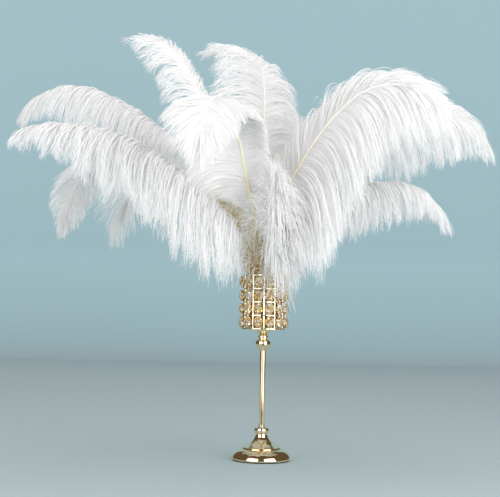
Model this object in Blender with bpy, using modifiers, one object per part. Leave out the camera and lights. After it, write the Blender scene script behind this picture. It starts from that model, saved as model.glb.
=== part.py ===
"""A bunch of thirteen white ostrich feathers standing in a gold candle cup hung with crystals.

The cup is on a thin stem and a turned foot, which stands on a black pad. Metres, +Z up. The origin is
the middle of the pad's underside, +X is the viewer's right and +Y points away from the viewer.
"""

import math

import bmesh
import bpy
import numpy as np

# Holder
PAD_DIAMETER = 0.096
PAD_THICK = 0.0015
FOOT_DIAMETER = 0.098
NECK_DIAMETER = 0.021
RING_DIAMETER = 0.025
FOOT_TOP = 0.055
STEM_DIAMETER = 0.0097
STEM_COLLAR_DIAMETER = 0.0115
STEM_TOP = 0.184
KNOP_DIAMETER = 0.025
SAUCER_DIAMETER = 0.028
CUP_BASE = 0.2195
FIT_GAP = 0.0003  # between pieces that touch

# Cup: a lattice of upright bars and rings on a round floor
CUP_DIAMETER = 0.075
CUP_FLOOR_THICK = 0.003
COLUMNS = 12
ROWS = 4
ROW_PITCH = 0.0224
BAR_WIDTH = 0.0034
BAR_THICK = 0.003

# Crystals: eight-sided beads, threaded on one thin upright pin in each column
CRYSTAL_WIDTH = 0.0152
CRYSTAL_HEIGHT = 0.0180
CRYSTAL_DEPTH = 0.0098
CRYSTAL_FLAT = 0.42  # share of a side that stays straight between the cut corners
PIN_DIAMETER = 0.0012

# Feathers
QUILL_DIAMETER = 0.0054
SHAFT_TIP_DIAMETER = 0.0012
VANE_THICK = 0.0008
LOCKS_PER_SIDE = 22
FLOOR_RING_RADIUS = 0.0195  # where the quills stand on the cup's floor
RIM_RING_RADIUS = 0.0264  # and where they pass its rim
MIDDLE_OF_BARB = 0.60  # where the vane ends and its locks part
BARB_STEPS = 20
SHAFT_STEPS = 800
TIP_FALL = np.array([0, 0, -0.6])  # how far the lock at the very tip hangs, against its run forwards

CUP_TOP = CUP_BASE + ROWS * ROW_PITCH + BAR_THICK


def linear_colour(text):
    """The linear colour of an sRGB hex value."""
    channels = (int(text[i : i + 2], 16) / 255 for i in (1, 3, 5))
    return [c / 12.92 if c <= 0.04045 else ((c + 0.055) / 1.055) ** 2.4 for c in channels] + [1]


def material(name, colour, roughness, metallic=0.0, transmission=0.0):
    made = bpy.data.materials.new(name)
    made.use_nodes = True
    shader = made.node_tree.nodes["Principled BSDF"]
    shader.inputs["Base Color"].default_value = linear_colour(colour)
    shader.inputs["Roughness"].default_value = roughness
    shader.inputs["Metallic"].default_value = metallic
    shader.inputs["Transmission Weight"].default_value = transmission
    return made


def place(name, mesh, finish, parent):
    obj = bpy.data.objects.new(name, mesh)
    obj.parent = parent
    mesh.materials.append(finish)
    bpy.data.collections["ostrich_feathers"].objects.link(obj)
    return obj


def mesh_of(name, points, faces):
    """A mesh whose faces all point outwards."""
    mesh = bpy.data.meshes.new(name)
    mesh.from_pydata([tuple(p) for p in points], [], faces)
    work = bmesh.new()
    work.from_mesh(mesh)
    bmesh.ops.recalc_face_normals(work, faces=work.faces)
    work.to_mesh(mesh)
    work.free()
    return mesh


def turned(name, profile, sides, finish, parent):
    """A piece turned round Z from a profile of (radius, height) that runs down its outer side."""
    mesh = bpy.data.meshes.new(name)
    edges = [(i, i + 1) for i in range(len(profile) - 1)]
    mesh.from_pydata([(radius, 0, height) for radius, height in profile], edges, [])
    obj = place(name, mesh, finish, parent)
    screw = obj.modifiers.new("turn", "SCREW")
    screw.steps = screw.render_steps = sides
    screw.use_merge_vertices = True
    screw.merge_threshold = 1e-5
    return obj


# ---------------------------------------------------------------------------------------------- holder


def foot_pad(finish, parent):
    radius = PAD_DIAMETER / 2
    profile = [(0, PAD_THICK), (radius, PAD_THICK), (radius, 0), (0, 0)]
    return turned("foot_pad", profile, 24, finish, parent)


def foot(finish, parent):
    """A domed rim, a step, a hollow flare up to a neck, and a round ring on top."""
    rim = FOOT_DIAMETER / 2
    neck = NECK_DIAMETER / 2
    ring = RING_DIAMETER / 2
    step_height = 0.0205
    step_radius = 0.0318
    bottom = PAD_THICK + FIT_GAP
    ring_middle = 0.0488
    ring_half = 0.0042
    profile = [(0, FOOT_TOP), (ring - 0.0035, FOOT_TOP), (ring - 0.0012, ring_middle + ring_half)]
    profile += [(ring, ring_middle), (neck, ring_middle - ring_half)]
    for share in (0.14, 0.38, 0.62, 0.84, 1.0):
        height = ring_middle - ring_half + (step_height + 0.0010 - ring_middle + ring_half) * share
        profile.append((neck + (step_radius - 0.0015 - neck) * share**2.1, height))
    profile.append((step_radius, step_height))
    dome = [(rim - 0.0075, 0.0150), (rim - 0.0025, 0.0090), (rim, 0.0030), (rim, bottom), (0, bottom)]
    return turned("foot", profile + dome, 24, finish, parent)


def stem(finish, parent):
    rod = STEM_DIAMETER / 2
    collar = STEM_COLLAR_DIAMETER / 2
    low = FOOT_TOP + FIT_GAP
    collar_top = low + 0.0035
    profile = [(0, STEM_TOP), (rod, STEM_TOP), (rod, collar_top + 0.0006), (collar, collar_top)]
    return turned("stem", profile + [(collar, low), (0, low)], 12, finish, parent)


def knop(finish, parent):
    """A ball with a neck bead above it and a saucer under the cup."""
    ball = KNOP_DIAMETER / 2
    saucer = SAUCER_DIAMETER / 2
    low = STEM_TOP + FIT_GAP
    top = CUP_BASE - FIT_GAP
    profile = [(0, top), (saucer, top), (saucer - 0.0010, top - 0.0016), (0.0066, top - 0.0072)]
    profile += [(0.0064, 0.2105), (0.0086, 0.2075), (0.0080, 0.2040), (0.0092, 0.2030)]
    profile += [(ball - 0.0008, 0.2000), (ball, 0.1958), (ball - 0.0012, 0.1905), (0.0070, low)]
    return turned("knop", profile + [(0, low)], 16, finish, parent)


def cup_frame(finish, parent):
    """The lattice and the floor are one open sheet, which Solidify makes BAR_THICK deep inwards."""
    radius = CUP_DIAMETER / 2
    half_bar = math.asin(BAR_WIDTH / 2 / radius)
    levels = [CUP_BASE]
    for row in range(ROWS + 1):
        ring_low = CUP_BASE + row * ROW_PITCH
        levels += [ring_low, ring_low + BAR_THICK] if row else [ring_low + BAR_THICK]
    angles = []
    for column in range(COLUMNS):
        middle = math.tau * column / COLUMNS
        angles += [middle - half_bar, middle + half_bar]
    points = [(radius * math.cos(a), radius * math.sin(a), z) for z in levels for a in angles]
    count = len(angles)
    faces = [list(range(count))[::-1]]
    for i in range(len(levels) - 1):
        for j in range(count):
            is_ring = i % 2 == 0
            is_upright = j % 2 == 0
            if is_ring or is_upright:
                following = (j + 1) % count
                low, high = i * count, (i + 1) * count
                faces.append([low + j, low + following, high + following, high + j])
    obj = place("cup_frame", mesh_of("cup_frame", points, faces), finish, parent)
    wall = obj.modifiers.new("wall", "SOLIDIFY")
    wall.thickness = BAR_THICK
    wall.offset = -1
    wall.use_even_offset = True
    return obj


def crystal_strand(column, finish, parent):
    """One column's beads and their pin: a loft of four-cornered sections up a line outside the rings.

    Each bead widens from the pin to a cut corner, runs straight, and closes again.
    """
    pin = PIN_DIAMETER / 2
    wide, deep, half = CRYSTAL_WIDTH / 2, CRYSTAL_DEPTH / 2, CRYSTAL_HEIGHT / 2
    flat = CRYSTAL_FLAT
    low = CUP_BASE + FIT_GAP
    high = CUP_TOP - FIT_GAP
    sections = [(low, pin, pin)]
    for row in range(ROWS):
        middle = CUP_BASE + BAR_THICK / 2 + (row + 0.5) * ROW_PITCH
        sections += [(middle - half, pin, pin), (middle - half, wide * flat, deep * flat)]
        sections += [(middle - half * flat, wide, deep), (middle + half * flat, wide, deep)]
        sections += [(middle + half, wide * flat, deep * flat), (middle + half, pin, pin)]
    sections.append((high, pin, pin))
    ring_middle = CUP_DIAMETER / 2 * math.cos(math.pi / COLUMNS - math.asin(BAR_WIDTH / CUP_DIAMETER))
    out = ring_middle + FIT_GAP + pin
    turn = math.tau * (column + 0.5) / COLUMNS
    outward = np.array([math.cos(turn), math.sin(turn), 0])
    across = np.array([-math.sin(turn), math.cos(turn), 0])
    points = []
    for height, half_width, half_depth in sections:
        axis = outward * out + np.array([0, 0, height])
        points += [axis + across * half_width, axis + outward * half_depth]
        points += [axis - across * half_width, axis - outward * half_depth]
    faces = [[0, 1, 2, 3], [len(points) - 4 + i for i in range(4)]]
    for i in range(len(sections) - 1):
        faces += [[4 * i + j, 4 * i + (j + 1) % 4, 4 * i + 4 + (j + 1) % 4, 4 * i + 4 + j] for j in range(4)]
    name = f"crystal_strand_{column + 1:02d}"
    return place(name, mesh_of(name, points, faces), finish, parent)


# -------------------------------------------------------------------------------------------- feathers

# For each feather: the compass angle, in degrees from +X, at which its quill stands in the cup; the
# points that its shaft passes above the rim; and which way one vane points low down and at the tip (the
# other points the opposite way). Then for each vane the angle in degrees between barb and shaft, low
# down and at the tip, and its longest barb, the share of that left at the tip, how fast gravity turns
# its barbs down (per metre), and the share of the shaft where it starts.
FEATHERS = {
    "feather_left_front": dict(
        slot=219,
        shaft=[(-0.049, -0.035, 0.392), (-0.101, -0.050, 0.442), (-0.160, -0.062, 0.491),
               (-0.226, -0.072, 0.529), (-0.288, -0.082, 0.546), (-0.345, -0.089, 0.549),
               (-0.384, -0.093, 0.544)],
        side=[(0, -1, 0), (0, -1, 0)],
        angles=[(56, 52), (56, 52)],
        vanes=[(0.170, 0.30, 18, 0.22), (0.110, 0.26, 26, 0.34)],
    ),
    "feather_left_upper": dict(
        slot=196,
        shaft=[(-0.085, 0.022, 0.452), (-0.132, 0.035, 0.516), (-0.195, 0.050, 0.574),
               (-0.263, 0.063, 0.617), (-0.322, 0.075, 0.639), (-0.368, 0.083, 0.640),
               (-0.402, 0.088, 0.630)],
        side=[(0, -1, -0.2), (0, -1, -0.1)],
        angles=[(58, 60), (58, 56)],
        vanes=[(0.135, 0.60, 18, 0.40), (0.085, 0.60, 26, 0.38)],
    ),
    "feather_left_rear": dict(
        slot=150,
        shaft=[(-0.106, 0.085, 0.423), (-0.191, 0.135, 0.489), (-0.259, 0.165, 0.526),
               (-0.312, 0.190, 0.521), (-0.347, 0.200, 0.490), (-0.366, 0.205, 0.452),
               (-0.376, 0.205, 0.418)],
        side=[(-0.6, -0.8, 0), (-1, -0.3, 0)],
        angles=[(62, 44), (62, 44)],
        vanes=[(0.100, 0.42, 14, 0.36), (0.118, 0.36, 16, 0.44)],
    ),
    "feather_back_left": dict(
        slot=122,
        shaft=[(-0.058, 0.130, 0.458), (-0.132, 0.231, 0.526), (-0.205, 0.298, 0.532),
               (-0.256, 0.331, 0.498), (-0.278, 0.340, 0.445)],
        side=[(-0.8, -0.6, 0), (-0.7, -0.7, 0)],
        angles=[(62, 60), (66, 60)],
        vanes=[(0.096, 0.50, 14, 0.48), (0.106, 0.50, 13, 0.42)],
    ),
    "feather_top_left": dict(
        slot=173,
        shaft=[(-0.057, 0.006, 0.431), (-0.093, 0.018, 0.545), (-0.115, 0.025, 0.618),
               (-0.136, 0.032, 0.660), (-0.158, 0.038, 0.693), (-0.180, 0.042, 0.713),
               (-0.204, 0.044, 0.724)],
        side=[(-0.8, -0.6, -0.3), (-0.6, -0.7, -0.8)],
        angles=[(34, 62), (26, 40)],
        vanes=[(0.090, 0.56, 8, 0.50), (0.034, 0.80, 4, 0.50)],
    ),
    "feather_top": dict(
        slot=66,
        shaft=[(-0.002, 0.064, 0.463), (-0.003, 0.088, 0.573), (-0.004, 0.107, 0.642),
               (-0.009, 0.119, 0.684), (-0.021, 0.128, 0.709), (-0.037, 0.132, 0.721),
               (-0.054, 0.134, 0.725)],
        side=[(-1, 0.8, 0), (-0.5, -0.9, 0)],
        angles=[(80, 66), (58, 50)],
        vanes=[(0.152, 0.48, 7, 0.50), (0.130, 0.24, 12, 0.46)],
    ),
    "feather_front": dict(
        slot=243,
        shaft=[(-0.019, -0.050, 0.413), (-0.033, -0.078, 0.470), (-0.049, -0.112, 0.537),
               (-0.064, -0.140, 0.574), (-0.079, -0.172, 0.583), (-0.092, -0.207, 0.570),
               (-0.099, -0.230, 0.545), (-0.102, -0.240, 0.520)],
        side=[(-1, 0, 0), (-1, 0, 0)],
        angles=[(50, 78), (38, 78)],
        vanes=[(0.105, 0.44, 9, 0.34), (0.090, 0.56, 9, 0.36)],
    ),
    "feather_right_front": dict(
        slot=315,
        shaft=[(0.017, -0.035, 0.420), (0.040, -0.048, 0.466), (0.062, -0.060, 0.505),
               (0.090, -0.074, 0.547), (0.121, -0.088, 0.583), (0.157, -0.098, 0.611),
               (0.194, -0.106, 0.621), (0.232, -0.112, 0.615), (0.264, -0.116, 0.595),
               (0.280, -0.118, 0.572)],
        side=[(0.7, -0.6, -0.4), (0.2, -1, -0.4)],
        angles=[(60, 36), (60, 40)],
        vanes=[(0.185, 0.46, 12, 0.22), (0.085, 0.34, 2, 0.40)],
    ),
    "feather_right_far": dict(
        slot=8,
        shaft=[(0.060, 0.032, 0.453), (0.140, 0.078, 0.542), (0.219, 0.105, 0.595),
               (0.279, 0.122, 0.617), (0.322, 0.133, 0.618), (0.355, 0.141, 0.610),
               (0.381, 0.147, 0.594)],
        side=[(0, -0.9, -0.5), (0, -0.8, -0.9)],
        angles=[(62, 56), (62, 50)],
        vanes=[(0.138, 0.58, 16, 0.40), (0.095, 0.80, 20, 0.44)],
    ),
    "feather_right_low": dict(
        slot=342,
        shaft=[(0.050, -0.008, 0.404), (0.089, -0.006, 0.431), (0.135, -0.003, 0.454),
               (0.181, 0.000, 0.469), (0.222, 0.003, 0.471), (0.256, 0.005, 0.463),
               (0.280, 0.006, 0.448)],
        side=[(0, -1, 0), (0, -1, 0)],
        angles=[(60, 60), (60, 56)],
        vanes=[(0.120, 0.62, 20, 0.32), (0.100, 0.60, 28, 0.36)],
    ),
    "feather_front_right": dict(
        slot=283,
        shaft=[(0.010, -0.056, 0.362), (0.013, -0.073, 0.395), (0.015, -0.084, 0.422),
               (0.017, -0.091, 0.440), (0.018, -0.095, 0.452)],
        side=[(-1, 0, 0), (-1, 0, 0)],
        angles=[(28, 28), (30, 28)],
        vanes=[(0.080, 0.70, 26, 0.44), (0.080, 0.70, 28, 0.40)],
    ),
    "feather_back_right": dict(
        slot=38,
        shaft=[(0.053, 0.078, 0.441), (0.107, 0.180, 0.530), (0.155, 0.262, 0.575),
               (0.191, 0.322, 0.570), (0.211, 0.350, 0.528)],
        side=[(0.8, -0.6, 0), (0.8, -0.6, 0)],
        angles=[(62, 30), (62, 30)],
        vanes=[(0.070, 0.55, 16, 0.46), (0.078, 0.55, 16, 0.48)],
    ),
    "feather_back": dict(
        slot=94,
        shaft=[(-0.004, 0.110, 0.439), (0.000, 0.190, 0.540), (0.002, 0.265, 0.600),
               (0.004, 0.330, 0.610), (0.006, 0.375, 0.575)],
        side=[(-1, 0, 0), (-1, 0, 0)],
        angles=[(62, 30), (62, 30)],
        vanes=[(0.085, 0.55, 14, 0.48), (0.090, 0.55, 14, 0.46)],
    ),
}


def unit(vectors):
    return vectors / np.linalg.norm(vectors, axis=-1, keepdims=True)


def curve_through(points, count):
    """Even steps along cubics through the points, whose slope at each comes from its neighbours."""
    points = np.array(points, float)
    knots = np.append(0, np.cumsum(np.linalg.norm(np.diff(points, axis=0), axis=1)))
    slopes = np.gradient(points, knots, axis=0)
    fine = np.linspace(0, knots[-1], 400)
    span = np.clip(np.searchsorted(knots, fine, side="right") - 1, 0, len(knots) - 2)
    width = (knots[span + 1] - knots[span])[:, None]
    s = (fine - knots[span])[:, None] / width
    curve = (1 + 2 * s) * (1 - s) ** 2 * points[span] + s * s * (3 - 2 * s) * points[span + 1]
    curve += s * (1 - s) * width * ((1 - s) * slopes[span] - s * slopes[span + 1])
    length = np.append(0, np.cumsum(np.linalg.norm(np.diff(curve, axis=0), axis=1)))
    even = np.linspace(0, length[-1], count)
    return np.stack([np.interp(even, length, curve[:, k]) for k in range(3)], axis=1)


def barb_lengths(shares, longest, at_tip, start):
    """Barbs grow as 1.06 - exp(-along / 0.1), and shorten towards the tip by a power law."""
    along = np.clip((shares - start) / (1 - start), 0, 1)
    return longest * np.minimum(1, 1.06 - np.exp(-along / 0.1)) * (1 - (1 - at_tip) * along**2.4)


def barb_angles(angles, shares):
    """The angle goes from its low value to its tip value as shares^4, and closes at the very tip."""
    low, tip = np.radians(angles)
    close = np.clip((shares - 0.90) / 0.10, 0, 1)
    return (low + (tip - low) * shares**4) * (1 - 0.9 * close**2 * (3 - 2 * close))


def barb_paths(roots, forward, sideways, lengths, angle, droop):
    """Each barb leaves its shaft at its angle and turns down as 1 - exp(-droop x length).

    Returns the points of all barbs, [barb, step, xyz], with BARB_STEPS steps to each.
    """
    leaving = np.cos(angle)[:, None] * forward + np.sin(angle)[:, None] * sideways
    reach = (np.arange(BARB_STEPS) + 0.5) / BARB_STEPS * lengths[:, None]
    fallen = (1 - np.exp(-droop * reach))[:, :, None]
    heading = unit((1 - fallen) * leaving[:, None, :] + fallen * np.array([0, 0, -1.0]))
    moved = np.cumsum(heading * (lengths / BARB_STEPS)[:, None, None], axis=1)
    return roots[:, None, :] + np.concatenate([np.zeros_like(moved[:, :1]), moved], axis=1)


def shaft_of(plan):
    """The shaft's whole line, from the cup's floor past its rim and on through the plan's points."""
    slot = math.radians(plan["slot"])
    outward = np.array([math.cos(slot), math.sin(slot), 0])
    on_floor = outward * FLOOR_RING_RADIUS + [0, 0, CUP_BASE + CUP_FLOOR_THICK + 2 * FIT_GAP]
    at_rim = outward * RIM_RING_RADIUS + [0, 0, CUP_TOP]
    over_rim = at_rim + 0.30 * (at_rim - on_floor) + 0.04 * (np.array(plan["shaft"][0]) - at_rim)
    return curve_through([on_floor, at_rim, over_rim] + plan["shaft"], SHAFT_STEPS + 1)


def feather(name, plan, finish, parent):
    """Shaft and both vanes in one skin: a loft of six-cornered sections, round on the quill and flat
    where the vanes are, with a pointed lock between each two sections on either side.
    """
    first = min(start for *_, start in plan["vanes"])
    on_quill = np.array([0, 0.5, 0.9]) * first
    shares = np.concatenate([on_quill, np.linspace(first, 1, 2 * LOCKS_PER_SIDE + 1)])
    index = np.round(shares * SHAFT_STEPS).astype(int)
    line = shaft_of(plan)
    shaft = line[index]
    forward = unit(np.gradient(line, axis=0))[index]
    low_side, tip_side = (np.array(v, float) for v in plan["side"])
    side = low_side + (tip_side - low_side) * shares[:, None]
    side = unit(side - (side * forward).sum(1, keepdims=True) * forward)
    face = np.cross(forward, side)
    taper = 1 - shares[:, None] ** 1.5
    radius = (SHAFT_TIP_DIAMETER + (QUILL_DIAMETER - SHAFT_TIP_DIAMETER) * taper) / 2

    quill = slice(0, len(on_quill))
    edges, lock_tips = [], []
    for sign, angles, (longest, at_tip, droop, start) in zip((1, -1), plan["angles"], plan["vanes"]):
        lengths = barb_lengths(shares, longest, at_tip, start)
        angle = barb_angles(angles, shares)
        paths = barb_paths(shaft, forward, sign * side, lengths, angle, droop)
        step = round(MIDDLE_OF_BARB * BARB_STEPS)
        across = unit(paths[:, step + 1] - paths[:, step - 1])
        half = VANE_THICK / 2 * sign * unit(np.cross(forward, across))
        upper, lower = paths[:, step] + half, paths[:, step] - half
        corner = shaft + 0.87 * radius * sign * side
        upper[quill] = (corner + 0.5 * radius * face)[quill]
        lower[quill] = (corner - 0.5 * radius * face)[quill]
        edges.append((upper, lower))
        lock_tips.append(paths[len(on_quill) + 1 :: 2, -1])
    above, below = shaft + face * radius, shaft - face * radius
    loop = [above, *edges[0], below, edges[1][1], edges[1][0]]

    # One section at each place on the quill, and at every second one where the vanes are.
    sections = [0, 1, 2, *range(len(on_quill), len(shares), 2)]
    points = [corner[i] for i in sections for corner in loop]
    faces = [[0, 1, 2, 3, 4, 5]]
    for i in range(len(sections) - 1):
        for j in range(6):
            k = (j + 1) % 6
            border = [6 * i + j, 6 * i + k, 6 * i + 6 + k, 6 * i + 6 + j]
            if i < len(on_quill) or j not in (1, 4):
                faces.append(border)
                continue
            faces += [[a, b, len(points)] for a, b in zip(border, border[1:] + border[:1])]
            points.append(lock_tips[j // 4][i - len(on_quill)])
    last = 6 * (len(sections) - 1)
    faces += [[last + j, last + (j + 1) % 6, len(points)] for j in range(6)]
    points.append(shaft[-1] + lengths[-1] * unit(forward[-1] + TIP_FALL))
    return place(name, mesh_of(name, points, faces), finish, parent)


def clear_scene():
    for obj in list(bpy.data.objects):
        bpy.data.objects.remove(obj, do_unlink=True)


def build():
    clear_scene()
    collection = bpy.data.collections.new("ostrich_feathers")
    bpy.context.scene.collection.children.link(collection)
    holder = bpy.data.objects.new("holder", None)
    bunch = bpy.data.objects.new("bunch", None)
    collection.objects.link(holder)
    collection.objects.link(bunch)
    gold = material("polished champagne gold", "#D9BC84", 0.12, metallic=1.0)
    black = material("black felt", "#141414", 0.9)
    crystal = material("clear crystal", "#FFFFFF", 0.02, transmission=1.0)
    plume = material("white ostrich plume", "#F4F3EF", 0.8)
    foot_pad(black, holder)
    foot(gold, holder)
    stem(gold, holder)
    knop(gold, holder)
    cup_frame(gold, holder)
    for column in range(COLUMNS):
        crystal_strand(column, crystal, holder)
    for name, plan in FEATHERS.items():
        feather(name, plan, plume, bunch)


build()
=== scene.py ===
"""A bunch of thirteen white ostrich plumes in a gold candle cup hung with crystals, dressed for a photograph.

Everything is in metres, +Z up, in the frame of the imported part. Each plume is one mesh of a shaft and its
barbs, worked out as whole arrays; the holder's pieces are profiles carried round its axis.
"""

import math

import bpy
import numpy as np
from mathutils import Matrix, Vector


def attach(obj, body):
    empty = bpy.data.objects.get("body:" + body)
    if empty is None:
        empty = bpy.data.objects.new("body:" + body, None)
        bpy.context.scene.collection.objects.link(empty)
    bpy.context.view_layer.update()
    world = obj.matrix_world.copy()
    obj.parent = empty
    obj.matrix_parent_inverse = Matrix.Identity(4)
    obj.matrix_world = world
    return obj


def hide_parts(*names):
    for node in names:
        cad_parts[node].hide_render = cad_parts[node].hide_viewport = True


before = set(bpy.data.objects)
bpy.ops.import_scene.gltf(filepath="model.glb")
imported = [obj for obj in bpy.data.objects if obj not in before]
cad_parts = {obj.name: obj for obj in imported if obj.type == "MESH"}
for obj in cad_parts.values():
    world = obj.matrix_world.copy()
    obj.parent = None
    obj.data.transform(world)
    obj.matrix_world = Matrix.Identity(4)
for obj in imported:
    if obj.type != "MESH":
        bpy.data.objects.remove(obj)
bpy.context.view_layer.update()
MM = 0.001

# ------------------------------------------------------------------------------- sizes, as in the part

FIT_GAP = 0.3 * MM  # between pieces that touch
PAD_DIAMETER = 96 * MM
PAD_THICK = 1.5 * MM
FOOT_DIAMETER = 98 * MM
COLLAR_DIAMETER = 11.5 * MM
STEM_DIAMETER = 9.7 * MM
KNOP_DIAMETER = 25 * MM
SAUCER_DIAMETER = 28 * MM
FOOT_TOP = 55 * MM
STEM_TOP = 184 * MM
CUP_BASE = 219.5 * MM
CUP_DIAMETER = 75 * MM
COLUMNS, ROWS = 12, 4
ROW_PITCH = 22.4 * MM
BAR_WIDTH = 3.4 * MM
BAR_THICK = 3.0 * MM
CUP_TOP = CUP_BASE + ROWS * ROW_PITCH + BAR_THICK
# Width, depth and height of a crystal: up to 0.8 mm more than the part's, to fill the lattice.
CRYSTAL = (15.6 * MM, 9.8 * MM, 18.8 * MM)

QUILL_DIAMETER = 5.4 * MM
SHAFT_TIP_DIAMETER = 1.2 * MM
FLOOR_RING_RADIUS = 19.5 * MM
RIM_RING_RADIUS = 26.4 * MM
QUILL_FOOT = CUP_BASE + 3.6 * MM

# ------------------------------------------------------------------------------------------ the plumes

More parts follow.
